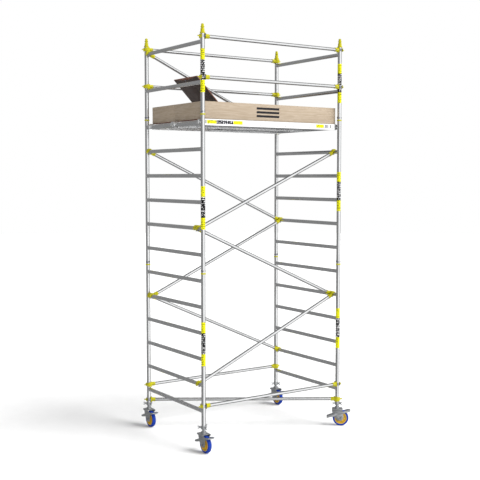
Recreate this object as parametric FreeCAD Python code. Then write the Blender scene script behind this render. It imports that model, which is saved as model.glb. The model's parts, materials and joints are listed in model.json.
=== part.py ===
"""Mobile tower scaffold: aluminium ladder frames on swivel casters, braced by
clawed tubes, with two decks, a hatch, toe boards and guardrails.

Frame: +X along the tower (left to right), +Y from front to back, +Z up.
The model is laid out about the plan centre of the four posts, then moved so
that the origin is the bottom centre of its bounding box, on the floor.
All sizes are in millimetres.
"""
import FreeCAD, Part
import math
import os

V = FreeCAD.Vector
X_AXIS = V(1, 0, 0)
Y_AXIS = V(0, 1, 0)
Z_AXIS = V(0, 0, 1)

# ---------------------------------------------------------------- dimensions
RUNG_PITCH = 300.0
RUNG_COUNT = 12
RUNGS_PER_FRAME = 6
FIRST_RUNG_Z = 475.0
POST_X = 1000.0          # half the distance between the posts along X
POST_Y = 660.0           # half the distance between the posts along Y
POST_R = 25.0
POST_WALL = 2.0
RUNG_R = 22.5
RUNG_WALL = 1.8
BRACE_R = 20.0
BRACE_WALL = 1.8
POST_BOTTOM_Z = 280.0
RUNG_BELOW_TOP = 90.0    # top rung of a frame below the frame's top
GUARD_RUNG_RISE = (360.0, 810.0)
GUARD_HEIGHT = 904.0

WELD_GAP = 0.02
FIT = 0.05               # radial running clearance
CLEAR = 0.3              # gap between faces of different bodies

FRAME_TOP_Z = [FIRST_RUNG_Z + RUNG_PITCH * (n * RUNGS_PER_FRAME - 1) + RUNG_BELOW_TOP
               for n in (1, 2)]
GUARD_TOP_Z = FRAME_TOP_Z[1] + GUARD_HEIGHT
GUARD_RUNG_Z = [FRAME_TOP_Z[1] + rise for rise in GUARD_RUNG_RISE]

COLLAR_R = 30.0
COLLAR_HALF = 8.0
SPIGOT_DEPTH = 85.0
SPIGOT_RISE = 102.0

TOP_RAIL_Z = 4732.0
MID_RAIL_Z = 4280.0
BASE_RAIL_Z = 535.0
PLAN_BRACE_Z = 342.0
FRONT_DIAGONAL_Y = (-560.0, -514.0)
BACK_DIAGONAL_Y = (603.0, 557.0)

CLAW_WALL = 15.0
CLAW_HALF_HEIGHT = 29.0
CLAW_HALF_WIDTH = 15.0   # of the claws that sit on a rung
CLAW_REACH = 82.0
SLEEVE_R = 24.5
TUBE_START = 50.0        # brace tube end, from the axis that its claw grips

DECK_WIDTH = 603.0
DECK_GAP = 2.0
DECK_FRONT_Y = -632.0
DECK_TOP_Z = 3820.0
DECK_END_X = 970.0
BEAM_WIDTH = 22.0
BEAM_HEIGHT = 72.0
BEAM_WALL = 2.5
BOARD_THICK = 12.0
CROSSBAR_WIDTH = 36.0
CROSSBAR_HEIGHT = 34.0

HINGE_X = -108.0
HINGE_RISE = 8.0         # hinge axis above the deck's surface
HATCH_LENGTH = 778.0
HATCH_EDGE_GAP = 5.0
HATCH_SIDE_GAP = 3.0
HATCH_OPEN_DEG = 45.0
HINGE_HALF_SPREAD = 180.0

TOE_HEIGHT = 198.0
TOE_THICK = 23.0
TOE_END_X = 968.0
TOE_FRONT_Y = -620.0
TOE_BACK_Y = 576.0

WHEEL_R = 100.0
WHEEL_WIDTH = 48.0
TRAIL = 45.0
SPINDLE_R = 19.0
SPINDLE_TOP_Z = 700.0
FORK_TOP_Z = 222.0
FORK_GAP = 30.0          # half the gap between the fork's cheeks
CHEEK_THICK = 4.0
CROWN_HALF_WIDTH = 54.0
RACE_HEIGHT = 9.0
WING_Z = 291.0
WING_TURN = {"front_left": -124.0, "front_right": -32.0, "back_left": -124.0, "back_right": -95.0}
KINGPIN_R = 10.0
AXLE_R = 8.0
PEDAL_PIVOT = (0.0, 148.0)
TRAIL_DEG = {"front_left": -90.0, "front_right": -40.0, "back_left": -90.0, "back_right": -90.0}
CORNERS = {"front_left": (-1, -1), "front_right": (1, -1), "back_left": (-1, 1), "back_right": (1, 1)}

nodes = {}


# ------------------------------------------------------------------- helpers
def rung_z(number):
    """Height of a rung of the two climbing frames, counted from 1."""
    return FIRST_RUNG_Z + RUNG_PITCH * (number - 1)


def box(low, high):
    return Part.makeBox(high[0] - low[0], high[1] - low[1], high[2] - low[2], V(*low))


def rod(start, end, radius):
    return Part.makeCylinder(radius, (end - start).Length, start, end - start)


def tube(start, end, radius, wall):
    return rod(start, end, radius).cut(rod(start, end, radius - wall))


def fuse(shapes):
    first = shapes[0]
    merged = first.multiFuse(shapes[1:])
    return merged.removeSplitter()


def prism(points, depth):
    """Solid from 3-D corner points in one plane, extruded by the vector depth."""
    return Part.Face(Part.makePolygon(points + points[:1])).extrude(depth)


def lathe(profile, centre):
    """Solid of revolution about Z from (radius, height) corners."""
    points = [V(radius, 0, height) for radius, height in profile]
    face = Part.Face(Part.makePolygon(points + points[:1]))
    solid = face.revolve(V(0, 0, 0), Z_AXIS, 360)
    solid.translate(centre)
    return solid


def group(name, solids):
    """Store a node: one solid, or several separate solids of the same kind."""
    nodes[name] = solids[0] if len(solids) == 1 else Part.makeCompound(solids)


def post_xy(corner):
    sign_x, sign_y = CORNERS[corner]
    return sign_x * POST_X, sign_y * POST_Y


# -------------------------------------------------------------------- frames
def ladder(side, low_z, high_z, heights):
    """One ladder frame: two posts and the coped rungs welded between them."""
    x = side * POST_X
    solids = []
    for end in (-1, 1):
        y = end * POST_Y
        solids.append(tube(V(x, y, low_z), V(x, y, high_z), POST_R, POST_WALL))
    cores = [rod(V(x, end * POST_Y, low_z), V(x, end * POST_Y, high_z), POST_R + WELD_GAP)
             for end in (-1, 1)]
    for z in heights:
        rung = tube(V(x, -POST_Y, z), V(x, POST_Y, z), RUNG_R, RUNG_WALL)
        solids.append(rung.cut(cores[0]).cut(cores[1]))
    return solids


def build_frames():
    lower = [rung_z(number) for number in range(1, RUNGS_PER_FRAME + 1)]
    middle = [rung_z(number) for number in range(RUNGS_PER_FRAME + 1, RUNG_COUNT + 1)]
    for side, word in ((-1, "left"), (1, "right")):
        group("lower_frame_" + word,
              ladder(side, POST_BOTTOM_Z, FRAME_TOP_Z[0] - COLLAR_HALF, lower))
        group("middle_frame_" + word,
              ladder(side, FRAME_TOP_Z[0] + COLLAR_HALF, FRAME_TOP_Z[1] - COLLAR_HALF, middle))
        group("guard_frame_" + word,
              ladder(side, FRAME_TOP_Z[1] + COLLAR_HALF, GUARD_TOP_Z - COLLAR_HALF, GUARD_RUNG_Z))


def spigot(corner, z):
    """Joint piece in a post's top: plug, collar, waist and snap ridge."""
    plug_r = POST_R - POST_WALL - FIT
    profile = [(0, -SPIGOT_DEPTH), (plug_r - 2, -SPIGOT_DEPTH), (plug_r, -SPIGOT_DEPTH + 3),
               (plug_r, -COLLAR_HALF), (COLLAR_R, -COLLAR_HALF), (COLLAR_R, COLLAR_HALF),
               (plug_r, COLLAR_HALF), (plug_r, 44), (15.5, 47), (15.5, 53), (22, 60),
               (22, 67), (16, 74), (16.5, 84), (15, 93), (10, 100), (0, SPIGOT_RISE)]
    x, y = post_xy(corner)
    return lathe(profile, V(x, y, z))


def lock_clip(corner, z):
    """Sprung clip that grips the post over a frame joint."""
    x, y = post_xy(corner)
    inner = POST_R + 0.1
    ring = tube(V(x, y, z), V(x, y, z + 14), inner + 3, 3)
    toward = -1 if y > 0 else 1
    slot = box((x - 9, min(y - toward * 40, y), z), (x + 9, max(y - toward * 40, y), z + 14))
    near = y + toward * (inner + 2)
    far = y + toward * (inner + 17)
    ear = box((x - 4, min(near, far), z + 3), (x + 4, max(near, far), z + 22))
    return fuse([ring.cut(slot), ear])


def build_spigots():
    joints = [spigot(corner, z) for z in FRAME_TOP_Z for corner in CORNERS]
    group("frame_joint_spigots", joints)
    group("top_spigots", [spigot(corner, GUARD_TOP_Z) for corner in CORNERS])
    clips = [lock_clip(corner, z + COLLAR_HALF + 16) for z in FRAME_TOP_Z for corner in CORNERS]
    group("frame_lock_clips", clips)


# --------------------------------------------------------------------- claws
def mouth_axes(along, member, mouth_deg):
    """Mouth direction, in degrees from along about member, and the one across it."""
    turn = math.radians(mouth_deg)
    mouth = along * math.cos(turn) + member.cross(along) * math.sin(turn)
    return mouth, member.cross(mouth)


def claw(centre, along, member, mouth_deg, member_r, half, finger):
    """Cast claw on a brace's end: a C-shaped jaw, a tapered web and a tube sleeve.

    along points from the gripped member to the brace tube, and member is the
    gripped tube's direction.
    """
    side = member.cross(along)
    grip_r = member_r + 0.15
    low = centre - member * half
    high = centre + member * half
    parts = [rod(low, high, grip_r + CLAW_WALL)]
    parts.append(rod(centre + along * 30, centre + along * CLAW_REACH, SLEEVE_R))
    if finger:
        tip = [centre + along * s + side * t - member * 6
               for s, t in ((-20, -11), (-20, 11), (-62, 6), (-62, -6))]
        parts.append(prism(tip, member * 12))
    body = fuse(parts)
    if finger:
        outline = [(CLAW_REACH + 1, 0.85), (58, 1), (2, 1), (-26, 0.74), (-44, 0.22), (-70, 0.2)]
        rim = [centre + along * s + member * (half * t) for s, t in outline]
        rim += [centre + along * s - member * (half * t) for s, t in reversed(outline)]
        body = body.common(prism([point - side * 60 for point in rim], side * 120))
    mouth, across = mouth_axes(along, member, mouth_deg)
    gap = [centre + across * t + mouth * s - member * 60
           for s, t in ((0, 1 - grip_r), (70, -9 - grip_r), (70, grip_r + 9), (0, grip_r - 1))]
    body = body.cut(rod(centre - member * 60, centre + member * 60, grip_r))
    body = body.cut(prism(gap, member * 120))
    bore = rod(centre + along * (TUBE_START - 1), centre + along * 90, BRACE_R + WELD_GAP)
    body = body.cut(bore)
    return max(body.Solids, key=lambda solid: solid.Volume)


def latch(centre, along, member, mouth_deg, member_r, half):
    """Sprung latch in the half of a claw's mouth that is nearer the tube."""
    mouth, across = mouth_axes(along, member, mouth_deg)
    if across.dot(along) < -0.01:
        across = across * -1
    low = centre - member * (half * 0.5)
    high = centre + member * (half * 0.5)
    sector = rod(low, high, member_r + 13).cut(rod(low, high, member_r + 1.5))
    wedge = [centre + across * t + mouth * s - member * 60
             for s, t in ((8, 3), (70, 3), (70, member_r + 8), (8, member_r - 1.5))]
    piece = sector.common(prism(wedge, member * 120))
    return max(piece.Solids, key=lambda solid: solid.Volume)


def brace(start, end):
    """Brace tube between the claws at two gripped axes."""
    along = (end - start).normalize()
    return tube(start + along * TUBE_START, end - along * TUBE_START, BRACE_R, BRACE_WALL)


def post_brace(start, end, inward):
    """Brace between two posts, its claws' jaws on the side that inward points to."""
    along = (end - start).normalize()
    claws = []
    latches = []
    for centre, toward, back in ((start, along, inward[0]), (end, along * -1, inward[1])):
        mouth_deg = -90 if Z_AXIS.cross(toward).dot(back) > 0 else 90
        claws.append(claw(centre, toward, Z_AXIS, mouth_deg, POST_R, CLAW_HALF_HEIGHT, True))
        latches.append(latch(centre, toward, Z_AXIS, mouth_deg, POST_R, CLAW_HALF_HEIGHT))
    return brace(start, end), claws, latches


def rung_brace(start, end):
    """Diagonal between two rungs, hooked over each from above."""
    along = (end - start).normalize()
    claws = []
    latches = []
    for centre, toward in ((start, along), (end, along * -1)):
        angle = math.degrees(math.atan2(toward.z, toward.x))
        mouth_world = -78 if toward.x < 0 else 258
        mouth_deg = angle - mouth_world
        claws.append(claw(centre, toward, Y_AXIS, mouth_deg, RUNG_R, CLAW_HALF_WIDTH, False))
        latches.append(latch(centre, toward, Y_AXIS, mouth_deg, RUNG_R, CLAW_HALF_WIDTH))
    return brace(start, end), claws, latches


def build_braces():
    inner = {-1: V(0, 1, 0), 1: V(0, -1, 0)}
    claws = []
    latches = []
    rails = (("guardrail_top", TOP_RAIL_Z), ("guardrail_middle", MID_RAIL_Z), ("base_brace", BASE_RAIL_Z))
    for word, z in rails:
        for end, place in ((-1, "front"), (1, "back")):
            y = end * POST_Y
            piece, jaws, locks = post_brace(V(-POST_X, y, z), V(POST_X, y, z), (inner[end], inner[end]))
            group(word + "_" + place, [piece])
            claws += jaws
            latches += locks
    start = V(-POST_X, POST_Y, PLAN_BRACE_Z)
    end = V(POST_X, -POST_Y, PLAN_BRACE_Z)
    piece, jaws, locks = post_brace(start, end, (Y_AXIS, Y_AXIS * -1))
    group("plan_brace", [piece])
    group("post_claws", claws + jaws)
    group("post_claw_latches", latches + locks)

    claws = []
    latches = []
    for place, first, ys in (("front", -1, FRONT_DIAGONAL_Y), ("back", 1, BACK_DIAGONAL_Y)):
        tubes = []
        spans = [(first * (-1) ** step, ys[step % 2], rung_z(2 + 3 * step), rung_z(5 + 3 * step))
                 for step in range(3)]
        if place == "back":
            spans.append((1, ys[0], rung_z(RUNG_COUNT), GUARD_RUNG_Z[1]))
        for side, y, low_z, high_z in spans:
            piece, jaws, locks = rung_brace(V(side * POST_X, y, low_z), V(-side * POST_X, y, high_z))
            tubes.append(piece)
            claws += jaws
            latches += locks
        group("diagonal_braces_" + place, tubes)
    group("rung_claws", claws)
    group("rung_claw_latches", latches)


# --------------------------------------------------------------------- decks
def beam(low, high, axis):
    """Hollow rectangular beam along X (axis 0) or Y (axis 1)."""
    inner_low = [value + (0 if n == axis else BEAM_WALL) for n, value in enumerate(low)]
    inner_high = [value - (0 if n == axis else BEAM_WALL) for n, value in enumerate(high)]
    return box(low, high).cut(box(inner_low, inner_high))


def deck_frame(y_low, bar_xs):
    """Two side beams, two end beams and the crossbars of one deck."""
    y_high = y_low + DECK_WIDTH
    beam_top = DECK_TOP_Z - 2
    beam_low = beam_top - BEAM_HEIGHT
    solids = []
    for y in (y_low, y_high - BEAM_WIDTH):
        solids.append(beam((-DECK_END_X, y, beam_low), (DECK_END_X, y + BEAM_WIDTH, beam_top), 0))
    y_in = (y_low + BEAM_WIDTH, y_high - BEAM_WIDTH)
    bar_top = DECK_TOP_Z - BOARD_THICK
    for x in (-DECK_END_X, DECK_END_X - CROSSBAR_WIDTH):
        solids.append(beam((x, y_in[0], beam_low + 4), (x + CROSSBAR_WIDTH, y_in[1], bar_top), 1))
    for x in bar_xs:
        solids.append(beam((x, y_in[0], bar_top - CROSSBAR_HEIGHT), (x + CROSSBAR_WIDTH, y_in[1], bar_top), 1))
    return solids


def deck_hooks(y_low):
    """Cast hooks that carry a deck's corners on the two twelfth rungs."""
    solids = []
    z = rung_z(RUNG_COUNT)
    grip_r = RUNG_R + 0.1
    for side in (-1, 1):
        for y in (y_low + 3, y_low + DECK_WIDTH - 43):
            x = side * POST_X
            back = side * (DECK_END_X + WELD_GAP)
            points = [(back, -6), (back, 38), (x + side * 22, 38), (x + side * 36, 22),
                      (x + side * 36, -12), (x + side * 27, -18), (x + side * 22, -6)]
            corners = [V(px, y, z + pz) for px, pz in points]
            hook = prism(corners, V(0, 40, 0))
            hook = hook.cut(rod(V(x, y - 5, z), V(x, y + 45, z), grip_r))
            solids.append(max(hook.Solids, key=lambda solid: solid.Volume))
    return solids


def hatch_turned(shape, degrees):
    """Turn a closed hatch piece open about the hinge axis."""
    shape.rotate(V(HINGE_X, 0, DECK_TOP_Z + HINGE_RISE), Y_AXIS, degrees)
    return shape


def build_hatch(y_mid, half_width):
    top = DECK_TOP_Z
    axis_z = top + HINGE_RISE
    x_high = HINGE_X - HATCH_EDGE_GAP
    x_low = x_high - HATCH_LENGTH
    latch_x = x_low + 26
    panel = box((x_low, y_mid - half_width, top - BOARD_THICK), (x_high, y_mid + half_width, top))
    panel = panel.cut(rod(V(latch_x, y_mid, top - 20), V(latch_x, y_mid, top + 5), 4 + FIT))
    group("hatch_panel", [hatch_turned(panel, HATCH_OPEN_DEG)])

    fixed = []
    moving = []
    for y in (y_mid - HINGE_HALF_SPREAD, y_mid + HINGE_HALF_SPREAD):
        pin = rod(V(HINGE_X, y - 36, axis_z), V(HINGE_X, y + 36, axis_z), 3)
        plate = box((HINGE_X + 7, y - 36, top), (HINGE_X + 46, y + 36, top + 3))
        parts = [pin, plate]
        for low in (-36, 15):
            knuckle = rod(V(HINGE_X, y + low, axis_z), V(HINGE_X, y + low + 21, axis_z), 6)
            parts += [knuckle, box((HINGE_X, y + low, top + 0.5), (HINGE_X + 8, y + low + 21, axis_z))]
        fixed.append(fuse(parts))
        knuckle = rod(V(HINGE_X, y - 14.7, axis_z), V(HINGE_X, y + 14.7, axis_z), 6)
        plate = box((HINGE_X - 46, y - 36, top), (HINGE_X - 7, y + 36, top + 3))
        web = box((HINGE_X - 8, y - 14.7, top + 1), (HINGE_X, y + 14.7, axis_z))
        hole = rod(V(HINGE_X, y - 40, axis_z), V(HINGE_X, y + 40, axis_z), 3 + FIT)
        moving.append(hatch_turned(fuse([knuckle, plate, web]).cut(hole), HATCH_OPEN_DEG))
    group("hatch_hinge_plates", fixed)
    group("hatch_hinge_flaps", moving)

    shaft = rod(V(latch_x, y_mid, top - 18), V(latch_x, y_mid, top + CLEAR), 4)
    dial = rod(V(latch_x, y_mid, top + CLEAR), V(latch_x, y_mid, top + 5), 15)
    grip = box((latch_x - 5, y_mid - 32, top + 5), (latch_x + 5, y_mid + 32, top + 16))
    tongue = box((latch_x - 6, y_mid - 7, top - 24), (latch_x + 6, y_mid + 26, top - 18))
    knob = fuse([shaft, dial, grip, tongue])
    group("hatch_latch", [hatch_turned(knob, HATCH_OPEN_DEG)])
    return x_low


def build_decks():
    back_y = DECK_FRONT_Y + DECK_WIDTH + DECK_GAP
    board_low = DECK_TOP_Z - BOARD_THICK
    inner = DECK_WIDTH - 2 * BEAM_WIDTH
    half_width = inner / 2 - HATCH_SIDE_GAP
    free_edge_x = build_hatch(back_y + DECK_WIDTH / 2, half_width)

    front_bars = [-780.0 + 254.0 * n for n in range(7)]
    group("front_deck_frame", deck_frame(DECK_FRONT_Y, front_bars))
    y = DECK_FRONT_Y + BEAM_WIDTH
    group("front_deck_board", [box((-DECK_END_X, y, board_low), (DECK_END_X, y + inner, DECK_TOP_Z))])

    y = back_y + BEAM_WIDTH
    ledge_x = free_edge_x - 29
    edge_x = HINGE_X + 3
    solids = deck_frame(back_y, [edge_x + 4] + [200.0 + 254.0 * n for n in range(3)])
    ledge_top = board_low - CLEAR
    bar = box((ledge_x, y, ledge_top - 6), (free_edge_x + 8, y + inner, ledge_top))
    heel = box((ledge_x, y, ledge_top - 40), (ledge_x + 20, y + inner, ledge_top - 6))
    solids.append(fuse([bar, heel]))
    group("back_deck_frame", solids)
    boards = [box((-DECK_END_X, y, board_low), (free_edge_x - 3, y + inner, DECK_TOP_Z)),
              box((edge_x, y, board_low), (DECK_END_X, y + inner, DECK_TOP_Z))]
    group("back_deck_boards", boards)
    group("deck_hooks", deck_hooks(DECK_FRONT_Y) + deck_hooks(back_y))


def build_toe_boards():
    low = DECK_TOP_Z
    high = DECK_TOP_Z + TOE_HEIGHT
    inside = TOE_END_X - TOE_THICK
    front = TOE_FRONT_Y + TOE_THICK
    back = TOE_BACK_Y - TOE_THICK
    seam = 30.0
    group("toe_board_front", [box((-TOE_END_X, TOE_FRONT_Y, low), (TOE_END_X, front, high))])
    group("toe_board_back", [box((-TOE_END_X, back, low), (TOE_END_X, TOE_BACK_Y, high))])
    for side, word in ((-1, "left"), (1, "right")):
        x = sorted((side * TOE_END_X, side * inside))
        ends = ((front, seam - 1), (seam + 1, back))
        group("toe_boards_" + word, [box((x[0], a, low), (x[1], b, high)) for a, b in ends])
    brackets = []
    for sign_x in (-1, 1):
        for sign_y, y in ((-1, front), (1, back)):
            x = sign_x * inside
            legs = []
            for dx, dy in ((40, 3), (3, 40)):
                xs = sorted((x, x - sign_x * dx))
                ys = sorted((y, y - sign_y * dy))
                legs.append(box((xs[0], ys[0], low + 30), (xs[1], ys[1], low + 90)))
            brackets.append(fuse(legs))
    group("toe_board_brackets", brackets)


# ------------------------------------------------------------------- casters
def caster_fork():
    """Swivel fork: race, flared crown, two cheeks, pedal stubs and the axle bolt."""
    outer = FORK_GAP + CHEEK_THICK
    wheel_z = WHEEL_R
    crown = CROWN_HALF_WIDTH
    half_section = [(outer, 50), (outer, 189), (crown, 205), (crown, 214), (crown - 8, FORK_TOP_Z)]
    half_hollow = [(FORK_GAP, 49), (FORK_GAP, 191), (crown - 5, 207), (crown - 5, 213), (crown - 10, FORK_TOP_Z - 5)]
    shapes = []
    for half in (half_section, half_hollow):
        section = half + [(-y, z) for y, z in reversed(half)]
        shapes.append(prism([V(-80, y, z) for y, z in section], V(180, 0, 0)))
    outline = [(-58, FORK_TOP_Z), (62, FORK_TOP_Z), (70, 212), (72, 190), (76, 150), (82, 118), (74, 84),
               (58, 68), (45, 64), (8, 70), (-34, 112), (-56, 150), (-64, 190), (-66, 212)]
    side_view = prism([V(px, -60, pz) for px, pz in outline], V(0, 120, 0))
    parts = [shapes[0].cut(shapes[1]).common(side_view)]
    parts.append(rod(V(0, 0, FORK_TOP_Z - 1), V(0, 0, FORK_TOP_Z + RACE_HEIGHT), 32))
    for side in (-1, 1):
        stub_start = V(PEDAL_PIVOT[0], side * (outer - 1), PEDAL_PIVOT[1])
        parts.append(rod(stub_start, stub_start + V(0, side * 8, 0), 6))
    body = fuse(parts)
    body = body.cut(rod(V(0, 0, FORK_TOP_Z - 10), V(0, 0, FORK_TOP_Z + RACE_HEIGHT + 1), KINGPIN_R + FIT))
    bore = rod(V(TRAIL, -outer - 1, wheel_z), V(TRAIL, outer + 1, wheel_z), AXLE_R + WELD_GAP)
    body = body.cut(bore)
    bolt = rod(V(TRAIL, -outer, wheel_z), V(TRAIL, outer + 2, wheel_z), AXLE_R)
    heads = [rod(V(TRAIL, -outer - 7, wheel_z), V(TRAIL, -outer, wheel_z), 14),
             rod(V(TRAIL, outer, wheel_z), V(TRAIL, outer + 8, wheel_z), 14)]
    return [body, fuse([bolt] + heads)]


def wheel_hub():
    half = WHEEL_WIDTH / 2
    profile = [(AXLE_R + FIT, -28), (20, -28), (22, -8), (58, -5), (68, -half + 3), (76, -half + 2),
               (76, half - 2), (68, half - 3), (58, 5), (22, 8), (20, 28), (AXLE_R + FIT, 28)]
    hub = lathe(profile, V(0, 0, 0))
    ribs = []
    for n in range(6):
        rib = box((18, -3, -18), (64, 3, 18))
        rib.rotate(V(0, 0, 0), Z_AXIS, 60 * n)
        ribs.append(rib)
    hub = fuse([hub] + ribs)
    hub.rotate(V(0, 0, 0), X_AXIS, 90)
    hub.translate(V(TRAIL, 0, WHEEL_R))
    return [hub]


def wheel_tyre():
    half = WHEEL_WIDTH / 2
    profile = [(76.02, -half + 2), (80, -half), (91, -half), (97, -half + 5), (WHEEL_R, -half + 13),
               (WHEEL_R, half - 13), (97, half - 5), (91, half), (80, half), (76.02, half - 2)]
    tyre = lathe(profile, V(0, 0, 0))
    tyre.rotate(V(0, 0, 0), X_AXIS, 90)
    tyre.translate(V(TRAIL, 0, WHEEL_R))
    return [tyre]


def brake_pedal():
    """Rocker pedal: two arms on the fork's stubs, end pads and the brake bar."""
    inner = FORK_GAP + CHEEK_THICK + 1
    outer = inner + 4
    long_end = (168, 198)
    short_end = (-133, 107)
    arm = [(short_end[0], short_end[1] - 6), (short_end[0], short_end[1] + 12), (-30, 160), (10, 168),
           (136, 204), (long_end[0], long_end[1] + 6), (long_end[0], long_end[1] - 7), (120, 172), (10, 134),
           (-12, 132), (-60, 112)]
    parts = []
    for side in (-1, 1):
        y = inner if side > 0 else -outer
        parts.append(prism([V(px, y, pz) for px, pz in arm], V(0, 4, 0)))
    parts.append(box((144, -outer, 191), (168, outer, 199)))
    parts.append(box((-133, -outer, 101), (-106, outer, 108)))
    parts.append(rod(V(130, -outer, 186), V(130, outer, 186), 6))
    pedal = fuse(parts)
    hole = rod(V(PEDAL_PIVOT[0], -outer - 1, PEDAL_PIVOT[1]), V(PEDAL_PIVOT[0], outer + 1, PEDAL_PIVOT[1]), 6 + FIT)
    return [pedal.cut(hole)]


def spindle():
    """Leg spindle with its bearing cap and the kingpin that the fork swivels on."""
    cap_low = FORK_TOP_Z + RACE_HEIGHT + CLEAR
    profile = [(0, 204), (16, 204), (16, 210), (KINGPIN_R, 210), (KINGPIN_R, cap_low), (30, cap_low),
               (30, cap_low + 8), (23, cap_low + 15), (SPINDLE_R, cap_low + 15),
               (SPINDLE_R, SPINDLE_TOP_Z - 3), (SPINDLE_R - 3, SPINDLE_TOP_Z), (0, SPINDLE_TOP_Z)]
    return [lathe(profile, V(0, 0, 0))]


def wing_nut():
    """Spindle nut: a cup under the post's end with three forked wings."""
    seat_z = POST_BOTTOM_Z - CLEAR
    low = seat_z - 12
    rim_z = WING_Z + 14
    profile = [(SPINDLE_R + FIT, low), (27, low), (31, low + 5), (31, rim_z), (POST_R + FIT, rim_z),
               (POST_R + FIT, seat_z), (SPINDLE_R + FIT, seat_z)]
    cup = lathe(profile, V(0, 0, 0))
    prongs = []
    for n in range(3):
        for end in (-1, 1):
            prong = prism([V(28, -4, WING_Z - end * 7), V(28, -4, WING_Z + end * 7),
                           V(66, -4, WING_Z + end * 18), V(72, -4, WING_Z + end * 10)], V(0, 8, 0))
            prong.rotate(V(0, 0, 0), Z_AXIS, 120 * n)
            prongs.append(prong)
    return [fuse([cup] + prongs)]


def build_casters():
    makers = {"leg_spindle": spindle, "wing_nut": wing_nut, "caster_fork": caster_fork,
              "wheel_hub": wheel_hub, "wheel_tyre": wheel_tyre, "brake_pedal": brake_pedal}
    for corner, trail_deg in TRAIL_DEG.items():
        x, y = post_xy(corner)
        for word, maker in makers.items():
            solids = maker()
            turn = trail_deg + (WING_TURN[corner] if word == "wing_nut" else 0)
            for solid in solids:
                solid.rotate(V(0, 0, 0), Z_AXIS, turn)
                solid.translate(V(x, y, 0))
            group(word + "_" + corner, solids)


build_frames()
build_spigots()
build_braces()
build_decks()
build_toe_boards()
build_casters()

extent = Part.makeCompound(list(nodes.values())).optimalBoundingBox()
shift = V(-(extent.XMin + extent.XMax) / 2, -(extent.YMin + extent.YMax) / 2, -extent.ZMin)

os.makedirs("parts", exist_ok=True)
for name, shape in nodes.items():
    shape.translate(shift)
    shape.exportStep("parts/" + name + ".step")
print("nodes", len(nodes), "shift", [round(value, 3) for value in shift],
      "size", [round(value, 1) for value in (extent.XLength, extent.YLength, extent.ZLength)])
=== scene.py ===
"""Looks of a mobile tower scaffold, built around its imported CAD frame.

Units are metres, in the CAD row's frame: +X along the tower from left to
right, +Y from front to back, +Z up, with the floor at Z = 0.
"""
import json
import math

import bmesh
import bpy
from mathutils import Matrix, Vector

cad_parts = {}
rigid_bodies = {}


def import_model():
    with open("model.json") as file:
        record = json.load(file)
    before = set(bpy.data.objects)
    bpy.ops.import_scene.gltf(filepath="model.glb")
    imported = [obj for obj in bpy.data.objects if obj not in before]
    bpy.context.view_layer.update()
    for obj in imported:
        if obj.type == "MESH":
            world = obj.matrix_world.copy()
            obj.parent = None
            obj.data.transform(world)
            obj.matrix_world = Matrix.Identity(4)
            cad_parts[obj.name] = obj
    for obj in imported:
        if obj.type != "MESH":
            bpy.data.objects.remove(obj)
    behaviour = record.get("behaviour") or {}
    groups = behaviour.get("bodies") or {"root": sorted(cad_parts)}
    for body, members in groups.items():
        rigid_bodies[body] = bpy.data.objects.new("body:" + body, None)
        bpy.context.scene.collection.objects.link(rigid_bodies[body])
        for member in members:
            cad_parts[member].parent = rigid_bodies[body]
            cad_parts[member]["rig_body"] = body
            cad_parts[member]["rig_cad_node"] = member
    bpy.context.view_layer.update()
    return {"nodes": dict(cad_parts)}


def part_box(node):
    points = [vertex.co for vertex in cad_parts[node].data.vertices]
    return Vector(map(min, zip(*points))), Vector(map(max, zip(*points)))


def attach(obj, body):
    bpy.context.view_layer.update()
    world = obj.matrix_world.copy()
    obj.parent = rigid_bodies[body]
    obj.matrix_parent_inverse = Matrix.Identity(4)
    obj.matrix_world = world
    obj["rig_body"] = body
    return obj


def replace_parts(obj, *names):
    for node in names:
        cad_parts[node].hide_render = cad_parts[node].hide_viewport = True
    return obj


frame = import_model()

# ------------------------------------------------------------ places and sizes
CORNERS = {"front_left": (-1, -1), "front_right": (1, -1), "back_left": (-1, 1), "back_right": (1, 1)}
POST_R = 0.025
RUNG_R = 0.0225
SPINDLE_R = 0.019
THREAD_PITCH = 0.008
WHEEL_R = 0.1
TRAIL = 0.045
RUNG_PITCH = 0.3
FIRST_RUNG_Z = 0.475
LADDER_RUNGS = 6
GUARD_RUNG_HEIGHTS = [4.225, 4.675]
POST_CLAW_HEIGHTS = (4.732, 4.280, 0.535)
FILM_THICK = 0.0004
LEFT_LOW, LEFT_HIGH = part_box("lower_frame_left")
RIGHT_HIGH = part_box("lower_frame_right")[1]
CENTRE = (LEFT_LOW + RIGHT_HIGH) / 2
CENTRE.z = 0
POST_X = (RIGHT_HIGH.x - LEFT_LOW.x) / 2 - POST_R
POST_Y = (LEFT_HIGH.y - LEFT_LOW.y) / 2 - POST_R
TRAIL_DEG = {"front_left": -90, "front_right": -40, "back_left": -90, "back_right": -90}


def post_at(corner, z=0.0):
    sign_x, sign_y = CORNERS[corner]
    return CENTRE + Vector((sign_x * POST_X, sign_y * POST_Y, z))


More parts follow.
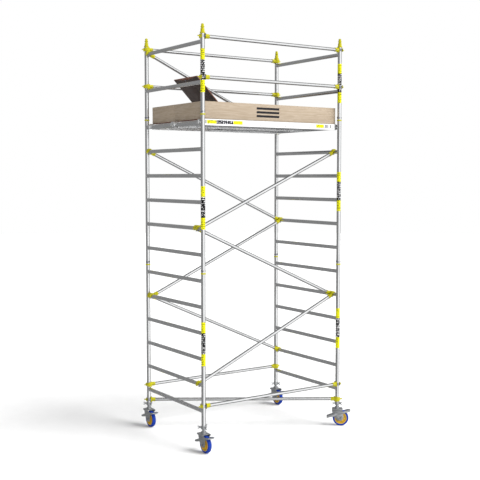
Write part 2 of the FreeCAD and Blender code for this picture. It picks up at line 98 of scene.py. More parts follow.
# --------------------------------------------------------------- node helpers
class Shader:
    """A node material with short ways to add and link nodes."""

    def __init__(self, name, colour, metallic=0.0, roughness=0.5):
        self.material = bpy.data.materials.new(name)
        self.material.use_nodes = True
        self.tree = self.material.node_tree
        self.bsdf = self.tree.nodes["Principled BSDF"]
        self.bsdf.inputs["Base Color"].default_value = (*colour, 1)
        self.bsdf.inputs["Metallic"].default_value = metallic
        self.bsdf.inputs["Roughness"].default_value = roughness

    def node(self, kind, **inputs):
        made = self.tree.nodes.new("ShaderNode" + kind)
        for key, value in inputs.items():
            self.put(value, made.inputs[key.replace("_", " ")])
        return made

    def put(self, value, socket):
        if isinstance(value, bpy.types.NodeSocket):
            self.tree.links.new(value, socket)
        else:
            socket.default_value = value

    def coords(self, scale=(1, 1, 1)):
        """Object coordinates stretched by scale."""
        place = self.node("TexCoord").outputs["Object"]
        return self.node("Mapping", Vector=place, Scale=scale).outputs["Vector"]

    def noise(self, scale, stretch=(1, 1, 1), detail=4.0, rough=0.6, distortion=0.0):
        made = self.node("TexNoise", Vector=self.coords(stretch), Scale=scale, Detail=detail,
                         Roughness=rough, Distortion=distortion)
        return made.outputs["Fac"]

    def math(self, operation, first, second=0.0):
        made = self.tree.nodes.new("ShaderNodeMath")
        made.operation = operation
        self.put(first, made.inputs[0])
        self.put(second, made.inputs[1])
        return made.outputs[0]

    def ramp(self, fac, stops):
        """Colour ramp; each stop is (position, colour)."""
        made = self.node("ValToRGB", Fac=fac)
        points = made.color_ramp.elements
        while len(points) < len(stops):
            points.new(0.5)
        for point, (position, colour) in zip(points, stops):
            point.position = position
            point.color = (*colour, 1)
        return made.outputs["Color"]

    def span(self, fac, low, high, to_low, to_high):
        made = self.node("MapRange", Value=fac, From_Min=low, From_Max=high, To_Min=to_low, To_Max=to_high)
        return made.outputs["Result"]

    def mix(self, fac, first, second):
        made = self.tree.nodes.new("ShaderNodeMix")
        made.data_type = "RGBA"
        self.put(fac, made.inputs[0])
        self.put(first if isinstance(first, bpy.types.NodeSocket) else (*first, 1), made.inputs[6])
        self.put(second if isinstance(second, bpy.types.NodeSocket) else (*second, 1), made.inputs[7])
        return made.outputs[2]

    def colour(self, value):
        self.put(value, self.bsdf.inputs["Base Color"])

    def rough(self, value):
        self.put(value, self.bsdf.inputs["Roughness"])

    def bump(self, height, strength=0.3, distance=0.001):
        made = self.node("Bump", Height=height, Strength=strength, Distance=distance)
        self.put(made.outputs["Normal"], self.bsdf.inputs["Normal"])


# ------------------------------------------------------------------ materials
def drawn_tube(name, stretch, colour=(0.60, 0.605, 0.61)):
    """Drawn aluminium: fine die lines along the tube, handling scuffs and dull patches."""
    s = Shader(name, colour, metallic=1.0, roughness=0.3)
    lines = s.noise(260, stretch, detail=2)
    patches = s.noise(3.5, detail=5)
    scuffs = s.noise(38, detail=6, rough=0.7)
    tint = s.mix(s.span(patches, 0.35, 0.7, 0, 1), colour, tuple(0.9 * c for c in colour))
    tint = s.mix(s.span(scuffs, 0.60, 0.72, 0, 0.35), tint, tuple(0.78 * c for c in colour))
    s.colour(tint)
    s.rough(s.math("ADD", s.span(lines, 0.3, 0.7, 0.17, 0.28), s.span(scuffs, 0.5, 0.75, 0, 0.12)))
    s.bump(s.math("ADD", lines, s.math("MULTIPLY", scuffs, 0.5)), 0.12, 0.0004)
    return s.material


def yellow_casting():
    """Powder-coated casting: orange-peel coat with rubbed, grimy spots."""
    s = Shader("yellow_casting", (0.40, 0.37, 0.008), roughness=0.4)
    peel = s.noise(700, detail=2)
    cast = s.noise(60, detail=5)
    grime = s.noise(28, detail=6, rough=0.7)
    tint = s.ramp(cast, [(0.3, (0.36, 0.33, 0.002)), (0.7, (0.50, 0.47, 0.004))])
    tint = s.mix(s.span(grime, 0.56, 0.72, 0, 0.55), tint, (0.13, 0.11, 0.015))
    s.colour(tint)
    s.rough(s.span(grime, 0.3, 0.7, 0.34, 0.6))
    s.bsdf.inputs["Specular IOR Level"].default_value = 0.3
    s.bump(s.math("ADD", peel, s.math("MULTIPLY", cast, 2.0)), 0.22, 0.0006)
    return s.material


def galvanised(name, low, high, roughness):
    """Zinc-coated steel: spangle cells, each with its own tone, and white bloom."""
    s = Shader(name, high, metallic=0.9, roughness=roughness)
    cells = s.node("TexVoronoi", Vector=s.coords(), Scale=160.0)
    tone = s.node("RGBToBW", Color=cells.outputs["Color"]).outputs["Val"]
    tint = s.ramp(tone, [(0.2, low), (0.8, high)])
    bloom = s.noise(45, detail=6, rough=0.7)
    s.colour(s.mix(s.span(bloom, 0.58, 0.75, 0, 0.4), tint, (0.62, 0.64, 0.66)))
    cell_rough = s.span(tone, 0, 1, roughness - 0.08, roughness + 0.08)
    s.rough(s.math("ADD", cell_rough, s.span(bloom, 0.5, 0.8, 0, 0.2)))
    s.bump(s.math("ADD", tone, bloom), 0.1, 0.0005)
    return s.material


def spruce(name, along, shade=1.0):
    """Planed spruce: growth-ring streaks along the board, fine fibre, knots."""
    lengthwise = tuple(0.35 if axis == along else 9.0 for axis in range(3))
    fibre = tuple(4.0 if axis == along else 160.0 for axis in range(3))
    s = Shader(name, (0.38, 0.31, 0.23), roughness=0.62)
    knot_place = s.coords(tuple(1.15 if axis == along else 4.2 for axis in range(3)))
    knots = s.node("TexVoronoi", Vector=knot_place, Scale=1.25)
    knot = s.span(knots.outputs["Distance"], 0.0, 0.16, 1, 0)
    streak_noise = s.noise(4.0, lengthwise, detail=6, distortion=0.6)
    bent = s.math("ADD", streak_noise, s.math("MULTIPLY", knot, 0.45))
    rings = s.math("SINE", s.math("MULTIPLY", bent, 46.0))
    streak = s.span(rings, -1, 1, 0, 1)
    light = tuple(shade * c for c in (0.40, 0.325, 0.245))
    dark = tuple(shade * c for c in (0.33, 0.26, 0.185))
    tint = s.mix(streak, light, dark)
    fine = s.noise(3.0, fibre, detail=3)
    tint = s.mix(s.span(fine, 0.4, 0.75, 0, 0.3), tint, tuple(shade * c for c in (0.25, 0.185, 0.12)))
    tint = s.mix(s.span(knots.outputs["Distance"], 0.015, 0.05, 0.85, 0), tint,
                 tuple(shade * c for c in (0.15, 0.085, 0.045)))
    s.colour(tint)
    s.rough(s.span(streak, 0, 1, 0.52, 0.7))
    s.bump(s.math("ADD", s.math("MULTIPLY", streak, 0.6), fine), 0.25, 0.0006)
    return s.material


def film_plywood():
    """Brown film-faced plywood with a pressed anti-slip mesh and foot scuffs."""
    s = Shader("film_plywood", (0.07, 0.053, 0.046), roughness=0.55)
    mesh = s.node("TexVoronoi", Vector=s.coords(), Scale=150.0)
    mesh.feature = "DISTANCE_TO_EDGE"
    grip = s.span(mesh.outputs["Distance"], 0.02, 0.16, 1, 0)
    wear = s.noise(9, detail=7, rough=0.7)
    broad = s.noise(2.2, detail=4)
    tint = s.ramp(broad, [(0.3, (0.050, 0.032, 0.028)), (0.7, (0.072, 0.047, 0.040))])
    tint = s.mix(s.span(wear, 0.58, 0.74, 0, 0.5), tint, (0.11, 0.08, 0.068))
    s.colour(s.mix(s.math("MULTIPLY", grip, 0.35), tint, (0.03, 0.024, 0.022)))
    s.rough(s.span(wear, 0.35, 0.7, 0.45, 0.7))
    s.bump(s.math("ADD", grip, wear), 0.4, 0.0008)
    return s.material


def plywood_edge():
    """Sealed plywood edge: thin red-brown veneers."""
    s = Shader("plywood_edge", (0.20, 0.075, 0.045), roughness=0.6)
    layers = s.noise(420, (0.02, 0.02, 1), detail=1)
    fibre = s.noise(60, (1, 1, 3), detail=5)
    tint = s.ramp(layers, [(0.35, (0.13, 0.045, 0.03)), (0.65, (0.26, 0.11, 0.065))])
    s.colour(s.mix(s.span(fibre, 0.4, 0.7, 0, 0.4), tint, (0.10, 0.04, 0.03)))
    s.bump(layers, 0.3, 0.0005)
    return s.material


def moulded_hub():
    """Orange nylon: fine mould grain and a film of dust."""
    s = Shader("orange_hub", (0.62, 0.36, 0.03), roughness=0.38)
    grain = s.noise(320, detail=3)
    dust = s.noise(26, detail=6, rough=0.7)
    tint = s.ramp(grain, [(0.3, (0.60, 0.37, 0.02)), (0.7, (0.72, 0.46, 0.03))])
    s.colour(s.mix(s.span(dust, 0.58, 0.74, 0, 0.45), tint, (0.30, 0.21, 0.09)))
    s.rough(s.span(dust, 0.3, 0.7, 0.3, 0.58))
    s.bump(grain, 0.15, 0.0004)
    return s.material


def blue_tread():
    """Blue moulded tread, dull with dust."""
    s = Shader("blue_tread", (0.004, 0.035, 0.32), roughness=0.6)
    s.bsdf.inputs["Specular IOR Level"].default_value = 0.25
    grain = s.noise(420, detail=3)
    dust = s.noise(30, detail=7, rough=0.7)
    tint = s.ramp(grain, [(0.3, (0.001, 0.026, 0.25)), (0.7, (0.002, 0.045, 0.38))])
    s.colour(s.mix(s.span(dust, 0.55, 0.74, 0, 0.45), tint, (0.07, 0.08, 0.16)))
    s.rough(s.span(dust, 0.3, 0.7, 0.42, 0.75))
    s.bump(s.math("ADD", grain, dust), 0.3, 0.0008)
    return s.material


def vinyl(name, colour, mark, bar_size, along):
    """Printed vinyl label with rows of plain bars; along is its long axis."""
    s = Shader(name, colour, roughness=0.32)
    place = s.node("TexCoord").outputs["Object"]
    split = s.node("SeparateXYZ", Vector=place)
    run = split.outputs[along]
    cell = s.math("FRACT", s.math("DIVIDE", run, bar_size))
    bar = s.math("LESS_THAN", cell, 0.45)
    broken = s.noise(1.6 / bar_size, detail=0)
    s.colour(s.mix(s.math("MULTIPLY", bar, s.math("GREATER_THAN", broken, 0.5)), colour, mark))
    s.bsdf.inputs["Specular IOR Level"].default_value = 0.2
    film = s.noise(90, detail=4)
    s.rough(s.span(film, 0.3, 0.7, 0.26, 0.42))
    s.bump(film, 0.05, 0.0003)
    return s.material


def studio_floor():
    """Plain pale floor."""
    s = Shader("studio_floor", (0.88, 0.88, 0.88), roughness=0.9)
    grain = s.noise(6, detail=5)
    s.colour(s.ramp(grain, [(0.3, (0.87, 0.87, 0.87)), (0.7, (0.89, 0.89, 0.89))]))
    s.bsdf.inputs["Specular IOR Level"].default_value = 0.0
    return s.material


TUBE_X = drawn_tube("drawn_tube_x", (0.01, 1, 1))
TUBE_FRAME = drawn_tube("drawn_tube_frame", (1, 0.05, 0.05))
EXTRUSION = drawn_tube("extruded_deck", (0.01, 1, 1), (0.78, 0.785, 0.79))
# A darker copy of the deck aluminium, used only under the deck: painted shade.
EXTRUSION_PAINTED_SHADE = drawn_tube("ribbed_sheet_painted_shade", (0.01, 1, 1), (0.30, 0.305, 0.31))
YELLOW = yellow_casting()
GALVANISED = galvanised("galvanised_steel", (0.30, 0.31, 0.32), (0.50, 0.51, 0.52), 0.40)
ZINC = galvanised("zinc_steel", (0.16, 0.17, 0.20), (0.30, 0.31, 0.36), 0.35)
SPRUCE_X = spruce("spruce_x", 0)
SPRUCE_Y = spruce("spruce_y", 1)
FILM = film_plywood()
EDGE = plywood_edge()
HUB = moulded_hub()
TREAD = blue_tread()
YELLOW_VINYL = vinyl("yellow_vinyl", (0.72, 0.70, 0.0), (0.06, 0.055, 0.01), 0.020, "Z")
BEAM_YELLOW = vinyl("beam_yellow_vinyl", (0.72, 0.70, 0.0), (0.06, 0.055, 0.01), 0.020, "X")
BEAM_BLACK = vinyl("beam_black_vinyl", (0.004, 0.004, 0.010), (0.62, 0.62, 0.63), 0.026, "X")
BAR_INK = vinyl("board_bars", (0.008, 0.008, 0.010), (0.012, 0.012, 0.014), 0.05, "X")
BLACK_VINYL = vinyl("black_vinyl", (0.003, 0.003, 0.004), (0.7, 0.7, 0.7), 0.022, "Z")


# --------------------------------------------------------------- mesh helpers
def add_piece(name, verts, faces, material, body, slot, smooth=True):
    """Mesh object from points and faces, riding on a CAD body."""
    mesh = bpy.data.meshes.new(name)
    mesh.from_pydata([tuple(v) for v in verts], [], faces)
    mesh.validate()
    piece = bpy.data.objects.new(name, mesh)
    bpy.context.scene.collection.objects.link(piece)
    mesh.materials.append(material)
    if smooth:
        mesh.shade_smooth()
        mesh.set_sharp_from_angle(angle=math.radians(35))
    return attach(piece, body)


class Batch:
    """Collects repeated shapes into one mesh."""

    def __init__(self):
        self.verts = []
        self.faces = []

    def add(self, verts, faces):
        start = len(self.verts)
        self.verts += list(verts)
        self.faces += [tuple(start + n for n in face) for face in faces]

    def piece(self, name, material, body, slot):
        return add_piece(name, self.verts, self.faces, material, body, slot)


def basis(axis):
    """Two unit vectors that make a right-handed set with axis."""
    axis = Vector(axis).normalized()
    first = axis.orthogonal().normalized()
    return axis, first, axis.cross(first)


def lathe(profile, centre, axis=(0, 0, 1), segments=32):
    """Closed surface of revolution from (radius, height) points; ends on the axis are single points."""
    up, side, other = basis(axis)
    verts = []
    rings = []
    for radius, height in profile:
        count = 1 if radius < 1e-7 else segments
        ring = []
        for n in range(count):
            turn = 2 * math.pi * n / segments
            out = side * math.cos(turn) + other * math.sin(turn)
            ring.append(len(verts))
            verts.append(Vector(centre) + up * height + out * radius)
        rings.append(ring)
    faces = []
    for low, high in zip(rings, rings[1:]):
        for n in range(segments):
            m = (n + 1) % segments
            corners = (low[n % len(low)], low[m % len(low)], high[m % len(high)], high[n % len(high)])
            face = tuple(dict.fromkeys(corners))
            if len(face) > 2:
                faces.append(face)
    return verts, faces


def dome(centre, axis, radius, height):
    """Rivet or bolt head: a low dome standing on a surface."""
    profile = [(0, -0.0008), (radius, -0.0008), (radius, 0.15 * height), (0.9 * radius, 0.55 * height),
               (0.6 * radius, 0.88 * height), (0, height)]
    return lathe(profile, centre, axis, 20)


def hexagon(centre, axis, radius, height):
    """Hexagonal nut or bolt head with a chamfered top."""
    profile = [(0, 0), (radius, 0), (radius, 0.8 * height), (0.86 * radius, height), (0, height)]
    return lathe(profile, centre, axis, 6)


def sheet(outline, y, thick):
    """Flat piece on a face that looks to -Y, from (x, z) corners in order."""
    count = len(outline)
    verts = [Vector((x, y - thick, z)) for x, z in outline] + [Vector((x, y + 0.0002, z)) for x, z in outline]
    faces = [tuple(range(count)), tuple(range(2 * count - 1, count - 1, -1))]
    faces += [((n + 1) % count, n, count + n, count + (n + 1) % count) for n in range(count)]
    return verts, faces


def rounded(x0, x1, z0, z1, radius):
    """Corners of a rounded rectangle, as (x, z) pairs."""
    points = []
    corners = ((x1 - radius, z0 + radius, -90), (x1 - radius, z1 - radius, 0),
               (x0 + radius, z1 - radius, 90), (x0 + radius, z0 + radius, 180))
    for x, z, start in corners:
        for n in range(5):
            turn = math.radians(start + 22.5 * n)
            points.append((x + radius * math.cos(turn), z + radius * math.sin(turn)))
    return points


def closed_tube(path, radius, segments):
    """Tube along a closed loop of points."""
    count = len(path)
    verts = []
    for n, point in enumerate(path):
        ahead = (Vector(path[(n + 1) % count]) - Vector(path[n - 1])).normalized()
        side = ahead.cross(Vector((0, 0, 1)) if abs(ahead.z) < 0.9 else Vector((1, 0, 0))).normalized()
        other = ahead.cross(side)
        for k in range(segments):
            turn = 2 * math.pi * k / segments
            verts.append(Vector(point) + (side * math.cos(turn) + other * math.sin(turn)) * radius)
    faces = []
    for n in range(count):
        m = (n + 1) % count
        for k in range(segments):
            q = (k + 1) % segments
            faces.append((n * segments + k, n * segments + q, m * segments + q, m * segments + k))
    return verts, faces


def softened(node, width, material, segments=2):
    """Copy of a CAD node with its edges rounded, shown in the node's place."""
    source = frame["nodes"][node]
    piece = source.copy()
    piece.data = source.data.copy()
    piece.name = node + "_finished"
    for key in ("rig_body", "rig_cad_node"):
        if key in piece:
            del piece[key]
    piece.parent = None
    bpy.context.scene.collection.objects.link(piece)
    mesh = bmesh.new()
    mesh.from_mesh(piece.data)
    bmesh.ops.remove_doubles(mesh, verts=mesh.verts, dist=1e-6)
    bmesh.ops.dissolve_limit(mesh, angle_limit=math.radians(1), verts=mesh.verts, edges=mesh.edges)
    mesh.to_mesh(piece.data)
    mesh.free()
    piece.data.materials.clear()
    piece.data.materials.append(material)
    bevel = piece.modifiers.new("rounded_edges", "BEVEL")
    bevel.width = width
    bevel.segments = segments
    bevel.limit_method = "ANGLE"
    bevel.angle_limit = math.radians(35)
    bevel.harden_normals = False
    bpy.context.view_layer.update()
    graph = bpy.context.evaluated_depsgraph_get()
    finished = bpy.data.meshes.new_from_object(piece.evaluated_get(graph))
    piece.modifiers.clear()
    piece.data = finished
    finished.shade_smooth()
    finished.set_sharp_from_angle(angle=math.radians(50))
    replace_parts(piece, node)
    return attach(piece, source["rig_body"])


def paint(node, material):
    """Give a CAD node that is shown as it is a finished material."""
    mesh = frame["nodes"][node].data
    mesh.materials.clear()
    mesh.materials.append(material)


# --------------------------------------------------------- frames and bracing
def finish_tubes():
    for node in frame["nodes"]:
        if "frame_left" in node or "frame_right" in node:
            paint(node, TUBE_FRAME)
        elif node.startswith(("guardrail", "base_brace", "plan_brace", "diagonal")):
            paint(node, TUBE_X)


def add_welds():
    """Saddle-shaped weld beads where each rung meets its posts."""
    proud = 0.0008
    steps = 28
    heights = [FIRST_RUNG_Z + RUNG_PITCH * n for n in range(2 * LADDER_RUNGS)]
    sections = (("lower", heights[:LADDER_RUNGS]), ("middle", heights[LADDER_RUNGS:]),
                ("guard", GUARD_RUNG_HEIGHTS))
    for word, sign_x in (("left", -1), ("right", 1)):
        for part, rungs in sections:
            beads = Batch()
            for z in rungs:
                for sign_y in (-1, 1):
                    path = []
                    for n in range(steps):
                        turn = 2 * math.pi * n / steps
                        dx = (RUNG_R + proud) * math.cos(turn)
                        dz = (RUNG_R + proud) * math.sin(turn)
                        reach = math.sqrt((POST_R + proud) ** 2 - min(dx * dx, (POST_R - proud) ** 2))
                        y = sign_y * (POST_Y - reach)
                        path.append(CENTRE + Vector((sign_x * POST_X + dx, y, z + dz)))
                    beads.add(*closed_tube(path, 0.0024, 8))
            beads.piece("weld_beads_%s_%s" % (part, word), TUBE_FRAME, "root", "tube_aluminium")


def finish_castings():
    for node in ("post_claws", "rung_claws"):
        softened(node, 0.0025, YELLOW, 3)
    for node in ("top_spigots", "frame_joint_spigots"):
        softened(node, 0.0012, YELLOW)
    for node in ("post_claw_latches", "rung_claw_latches", "frame_lock_clips"):
        softened(node, 0.0012, ZINC)


# ----------------------------------------------------------------------- deck
def finish_decks():
    for node in ("front_deck_frame", "back_deck_frame"):
        paint(node, EXTRUSION)
    softened("deck_hooks", 0.0025, EXTRUSION)
    for node in ("front_deck_board", "back_deck_boards", "hatch_panel"):
        piece = softened(node, 0.0012, FILM)
        piece.data.materials.append(EDGE)
        big = max(face.area for face in piece.data.polygons)
        for face in piece.data.polygons:
            if face.area < 0.2 * big:
                face.material_index = 1
    softened("hatch_hinge_plates", 0.0008, ZINC)
    softened("hatch_hinge_flaps", 0.0008, ZINC)
    softened("hatch_latch", 0.0015, ZINC)


def spaced(start, end, count):
    """Evenly spaced values from start to end."""
    return [start + n * (end - start) / (count - 1) for n in range(count)]


def add_deck_rivets():
    """Rivets along the deck beams' outer faces, and screws along the boards' edges."""
    for node, side in (("front_deck_frame", -1), ("back_deck_frame", 1)):
        low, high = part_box(node)
        y = low.y if side < 0 else high.y
        rivets = Batch()
        for x in spaced(low.x + 0.06, high.x - 0.06, 16):
            rivets.add(*dome(Vector((x, y, low.z + 0.02)), (0, side, 0), 0.005, 0.0022))
        rivets.piece(node + "_rivets", ZINC, "root", "zinc_steel")
    for node in ("front_deck_board", "back_deck_boards"):
        low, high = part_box(node)
        screws = Batch()
        for x in spaced(low.x + 0.05, high.x - 0.05, 11):
            if node.startswith("back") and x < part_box("hatch_hinge_plates")[1].x:
                continue
            for y in (low.y + 0.025, high.y - 0.025):
                screws.add(*dome(Vector((x, y, high.z)), (0, 0, 1), 0.006, 0.0018))
        screws.piece(node + "_screws", ZINC, "root", "zinc_steel")


def add_deck_undersides():
    """Ribbed aluminium sheets under the boards, inside the deck beams, in a darker copy of the deck
    aluminium: painted shade.
    """
    rib_pitch = 0.032
    rib_drop = 0.006
    thick = 0.0015
    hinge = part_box("hatch_hinge_plates")
    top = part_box("front_deck_board")[0].z - 0.0362
    for node in ("front_deck_frame", "back_deck_frame"):
        low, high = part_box(node)
        start = low.x + 0.04 if node.startswith("front") else hinge[0].x + 0.05
        end = high.x - 0.04
        line = []
        y = low.y + 0.024
        while y < high.y - 0.05:
            line += [(y, 0), (y + 0.012, 0), (y + 0.016, rib_drop), (y + 0.028, rib_drop), (y + rib_pitch, 0)]
            y += rib_pitch
        section = [(y, top - drop) for y, drop in line]
        section += [(y, top - drop - thick) for y, drop in reversed(line)]
        count = len(section)
        verts = [Vector((x, y, z)) for x in (start, end) for y, z in section]
        faces = [(n, (n + 1) % count, count + (n + 1) % count, count + n) for n in range(count)]
        pairs = count // 2
        for n in range(pairs - 1):
            m = count - 1 - n
            faces.append((n + 1, n, m, m - 1))
            faces.append((count + n, count + n + 1, count + m - 1, count + m))
        add_piece(node + "_underside", verts, faces, EXTRUSION_PAINTED_SHADE, "root", "deck_aluminium", smooth=False)


def finish_toe_boards():
    for node, material in (("toe_board_front", SPRUCE_X), ("toe_board_back", SPRUCE_X),
                           ("toe_boards_left", SPRUCE_Y), ("toe_boards_right", SPRUCE_Y)):
        softened(node, 0.003, material, 3)
    softened("toe_board_brackets", 0.0012, ZINC)


# --------------------------------------------------------------------- labels
def post_label(name, corner, low_z, high_z, material):
    """Vinyl sleeve wrapped on a post, open in a narrow strip at the back."""
    centre = post_at(corner)
    radius = POST_R + FILM_THICK
    verts = []
    steps = 36
    for layer in (radius, POST_R - 0.0002):
        for z in (low_z, high_z):
            for n in range(steps + 1):
                turn = math.radians(-240 + 300 * n / steps)
                verts.append(centre + Vector((layer * math.cos(turn), layer * math.sin(turn), z)))
    row = steps + 1
    faces = []
    for n in range(steps):
        faces.append((n, n + 1, row + n + 1, row + n))
        faces.append((2 * row + n + 1, 2 * row + n, 3 * row + n, 3 * row + n + 1))
        faces.append((n + 1, n, 2 * row + n, 2 * row + n + 1))
        faces.append((row + n, row + n + 1, 3 * row + n + 1, 3 * row + n))
    for n, order in ((0, 1), (steps, -1)):
        faces.append((n, row + n, 3 * row + n, 2 * row + n)[::order])
    return add_piece(name, verts, faces, material, "root", "yellow_casting")


def add_deck_labels():
    """Vinyl labels on the front deck's beam and a mark of plain bars on the front toe board."""
    low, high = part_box("front_deck_frame")
    z0 = high.z - 0.052
    z1 = high.z - 0.012
    strips = ((-0.925, -0.800, BEAM_YELLOW), (-0.798, -0.570, BEAM_BLACK), (-0.568, -0.440, BEAM_YELLOW),
              (0.655, 0.775, BEAM_YELLOW))
    for n, (x0, x1, material) in enumerate(strips):
        shape = sheet(rounded(CENTRE.x + x0, CENTRE.x + x1, z0, z1, 0.003), low.y, FILM_THICK)
        add_piece("beam_label_%d" % n, *shape, material, "root", "yellow_casting", smooth=False)
    signs = Batch()
    for x in (-0.962, -0.945, 0.795, 0.815, 0.835, 0.875):
        signs.add(*sheet(rounded(CENTRE.x + x, CENTRE.x + x + 0.010, z0, z1, 0.002), low.y, FILM_THICK))
    signs.piece("beam_safety_marks", BAR_INK, "root", "deck_plywood")
    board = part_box("toe_board_front")
    half_bar = 0.013
    bars = Batch()
    for rise in (0.055, 0.100, 0.145):
        z = board[0].z + rise
        outline = [(CENTRE.x - 0.235, z - half_bar), (CENTRE.x + 0.095, z - half_bar),
                   (CENTRE.x + 0.100, z + half_bar), (CENTRE.x - 0.230, z + half_bar)]
        bars.add(*sheet(outline, board[0].y, FILM_THICK))
    bars.piece("toe_board_bars", BAR_INK, "root", "deck_plywood")


def add_claw_rivets():
    """Rivet heads on the sleeves of the post claws."""
    sleeve_half = 0.0243
    rivets = Batch()
    for z in POST_CLAW_HEIGHTS:
        for sign_x in (-1, 1):
            for sign_y in (-1, 1):
                for reach in (0.058, 0.074):
                    for side in (-1, 1):
                        y = sign_y * POST_Y + side * sleeve_half
                        place = CENTRE + Vector((sign_x * (POST_X - reach), y, z))
                        rivets.add(*dome(place, (0, side, 0), 0.0042, 0.0022))
    rivets.piece("claw_rivets", ZINC, "root", "zinc_steel")


def add_labels():
    """Post sleeves in three bands; heights are of the sleeve's foot, the black band and the sleeve's top."""
    heights = {
        ("front_left", "guard"): (4.108, 4.244, 4.471, 4.593),
        ("front_right", "guard"): (4.079, 4.211, 4.442, 4.561),
        ("front_left", "middle"): (2.568, 2.700, 2.936, 3.057),
        ("front_right", "middle"): (2.735, 2.871, 3.101, 3.224),
        ("front_left", "lower"): (1.002, 1.141, 1.384, 1.510),
        ("front_right", "lower"): (0.998, 1.137, 1.380, 1.507),
    }
    for (corner, part), (low, black_low, black_high, high) in heights.items():
        stem = "label_%s_%s_" % (corner, part)
        post_label(stem + "lower", corner, low, black_low, YELLOW_VINYL)
        post_label(stem + "middle", corner, black_low, black_high, BLACK_VINYL)
        post_label(stem + "upper", corner, black_high, high, YELLOW_VINYL)


finish_tubes()
add_welds()
finish_castings()
finish_decks()
add_deck_rivets()
add_deck_undersides()
finish_toe_boards()
add_labels()
add_deck_labels()
add_claw_rivets()


# ---------------------------------------------------------------- the casters
def local_to_world(corner):
    """Point and direction maps from a caster's own axes, with its trail along +X."""
    turn = math.radians(TRAIL_DEG[corner])
    cos, sin = math.cos(turn), math.sin(turn)

    def direction(x, y, z):
        return Vector((x * cos - y * sin, x * sin + y * cos, z))

    def place(x, y, z):
        return post_at(corner) + direction(x, y, z)
    return place, direction


def smooth_tyre(corner, place, direction):
    """Grooved tread, turned finely about the axle."""
    half = [(0.0762, 0.0220), (0.080, 0.0238), (0.090, 0.0240), (0.0945, 0.0215), (0.0975, 0.0180),
            (0.0992, 0.0140), (0.0998, 0.0102), (0.0980, 0.0094), (0.0980, 0.0078), (0.0999, 0.0070)]
    profile = [(radius, -out) for radius, out in half] + [(radius, out) for radius, out in reversed(half)]
    verts, faces = lathe(profile + [profile[0]], place(TRAIL, 0, WHEEL_R), direction(0, 1, 0), 96)
    tyre = add_piece("tread_" + corner, verts, faces, TREAD, "wheel_" + corner, "blue_tread")
    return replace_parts(tyre, "wheel_tyre_" + corner)


def threaded_spindle(corner, place):
    """Leg spindle with its kingpin, bearing cap and ring grooves at the screw's pitch."""
    root = 0.0176
    crest = SPINDLE_R - 0.0001
    profile = [(0, 0.204), (0.015, 0.204), (0.016, 0.205), (0.016, 0.210), (0.010, 0.210), (0.010, 0.2313),
               (0.0292, 0.2313), (0.030, 0.2320), (0.030, 0.2385), (0.0285, 0.2400), (0.023, 0.2463),
               (0.0188, 0.2463)]
    z = 0.250
    while z < 0.690:
        profile += [(root, z), (root, z + 0.0016), (crest, z + 0.0040), (crest, z + 0.0056)]
        z += THREAD_PITCH
    profile += [(root, 0.6980), (0.0160, 0.7000), (0, 0.7000)]
    verts, faces = lathe(profile, place(0, 0, 0), (0, 0, 1), 40)
    name = "threaded_spindle_" + corner
    spindle = add_piece(name, verts, faces, GALVANISED, "leg_" + corner, "galvanised_steel")
    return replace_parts(spindle, "leg_spindle_" + corner)


def caster_bolts(corner, place, direction):
    """Axle nuts with their bolt ends, and four rivets on the crown."""
    bolts = Batch()
    for side in (-1, 1):
        face_y = 0.041 if side < 0 else 0.042
        outward = direction(0, side, 0)
        bolts.add(*hexagon(place(TRAIL, side * (face_y - 0.0005), WHEEL_R), outward, 0.0125, 0.006))
        bolts.add(*dome(place(TRAIL, side * (face_y + 0.0055), WHEEL_R), outward, 0.006, 0.003))
        for x in (-0.046, 0.044):
            bolts.add(*dome(place(x, side * 0.036, 0.222), (0, 0, 1), 0.005, 0.0025))
    bolts.piece("caster_bolts_" + corner, ZINC, "caster_" + corner, "galvanised_steel")


def pedal_ribs(corner, place, direction):
    """Grip ribs across both foot plates of the brake pedal."""
    bar = [(0, -0.033), (0.0010, -0.0325), (0.0016, -0.031), (0.0016, 0.031), (0.0010, 0.0325), (0, 0.033)]
    ribs = Batch()
    for foot_x, step, z in ((0.148, 0.007, 0.199), (-0.129, 0.008, 0.108)):
        for n in range(3):
            ribs.add(*lathe(bar, place(foot_x + step * n, 0, z), direction(0, 1, 0), 12))
    ribs.piece("pedal_ribs_" + corner, GALVANISED, "pedal_" + corner, "galvanised_steel")


def add_casters():
    for corner in CORNERS:
        place, direction = local_to_world(corner)
        softened("wing_nut_" + corner, 0.0015, GALVANISED, 3)
        softened("caster_fork_" + corner, 0.0015, GALVANISED)
        softened("brake_pedal_" + corner, 0.0012, GALVANISED)
        softened("wheel_hub_" + corner, 0.001, HUB)
        smooth_tyre(corner, place, direction)
        threaded_spindle(corner, place)
        caster_bolts(corner, place, direction)
        pedal_ribs(corner, place, direction)


add_casters()

# -------------------------------------------------------------- camera, studio
CAMERA_OFFSET = Vector((-6.3249, -9.2816, 3.1572))
CAMERA_PITCH = -4.004
CAMERA_YAW = -34.066
CAMERA_LENS = 67.144

camera_data = bpy.data.cameras.new("camera")
camera_data.lens = CAMERA_LENS
camera_data.sensor_width = 36
camera_data.clip_end = 200
camera = bpy.data.objects.new("camera", camera_data)
bpy.context.scene.collection.objects.link(camera)
camera.location = CENTRE + CAMERA_OFFSET
camera.rotation_euler = (math.radians(90 + CAMERA_PITCH), 0, math.radians(CAMERA_YAW))
bpy.context.scene.camera = camera


def add_floor():
    """Large pale disc; it stays out of reflections."""
    radius = 40.0
    steps = 96
    rim = []
    for n in range(steps):
        turn = 2 * math.pi * n / steps
        rim.append(CENTRE + Vector((radius * math.cos(turn), radius * math.sin(turn), 0)))
    mesh = bpy.data.meshes.new("floor")
    mesh.from_pydata([tuple(v) for v in rim], [], [tuple(range(steps))])
    mesh.materials.append(studio_floor())
    floor = bpy.data.objects.new("floor", mesh)
    bpy.context.scene.collection.objects.link(floor)
    floor.visible_glossy = False


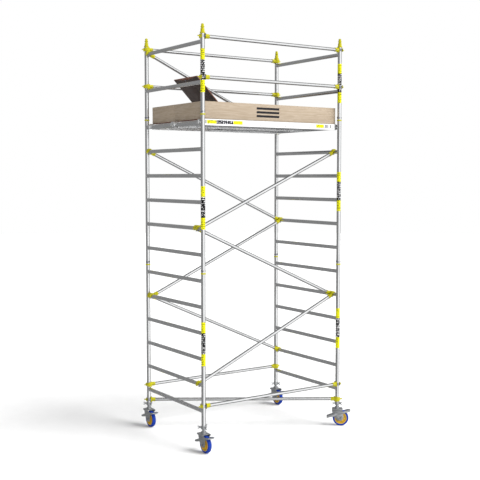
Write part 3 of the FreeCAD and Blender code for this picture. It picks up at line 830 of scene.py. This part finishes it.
def add_sun():
    """Broad, soft key light from the front right and above."""
    data = bpy.data.lights.new("key", "SUN")
    data.energy = 3.6
    data.angle = math.radians(40)
    light = bpy.data.objects.new("key", data)
    bpy.context.scene.collection.objects.link(light)
    light.location = CENTRE + Vector((6, -7, 10))
    light.visible_glossy = False
    light.rotation_euler = Vector((-0.42, 0.52, -0.78)).to_track_quat("-Z", "Y").to_euler()


def studio_world():
    """White to the camera; to the object, bright in front and grey from the sides and behind."""
    world = bpy.data.worlds.new("studio")
    world.use_nodes = True
    bpy.context.scene.world = world
    tree = world.node_tree
    tree.nodes.clear()
    place = tree.nodes.new("ShaderNodeTexCoord")
    dot = tree.nodes.new("ShaderNodeVectorMath")
    dot.operation = "DOT_PRODUCT"
    tree.links.new(place.outputs["Generated"], dot.inputs[0])
    dot.inputs[1].default_value = Vector((0.20, -0.96, 0.12)).normalized()
    ramp = tree.nodes.new("ShaderNodeValToRGB")
    scale = tree.nodes.new("ShaderNodeMapRange")
    scale.inputs["From Min"].default_value = -1
    tree.links.new(dot.outputs["Value"], scale.inputs["Value"])
    tree.links.new(scale.outputs["Result"], ramp.inputs["Fac"])
    stops = ramp.color_ramp.elements
    stops[0].position = 0.72
    stops[0].color = (0.22, 0.22, 0.22, 1)
    stops[1].position = 0.92
    stops[1].color = (1, 1, 1, 1)
    lit = tree.nodes.new("ShaderNodeBackground")
    tree.links.new(ramp.outputs["Color"], lit.inputs["Color"])
    lit.inputs["Strength"].default_value = 1.7
    seen = tree.nodes.new("ShaderNodeBackground")
    seen.inputs["Color"].default_value = (1, 1, 1, 1)
    seen.inputs["Strength"].default_value = 1.0
    path = tree.nodes.new("ShaderNodeLightPath")
    choose = tree.nodes.new("ShaderNodeMixShader")
    tree.links.new(path.outputs["Is Camera Ray"], choose.inputs[0])
    tree.links.new(lit.outputs[0], choose.inputs[1])
    tree.links.new(seen.outputs[0], choose.inputs[2])
    output = tree.nodes.new("ShaderNodeOutputWorld")
    tree.links.new(choose.outputs[0], output.inputs["Surface"])


bpy.context.scene.view_settings.view_transform = "Standard"
add_floor()
studio_world()
add_sun()
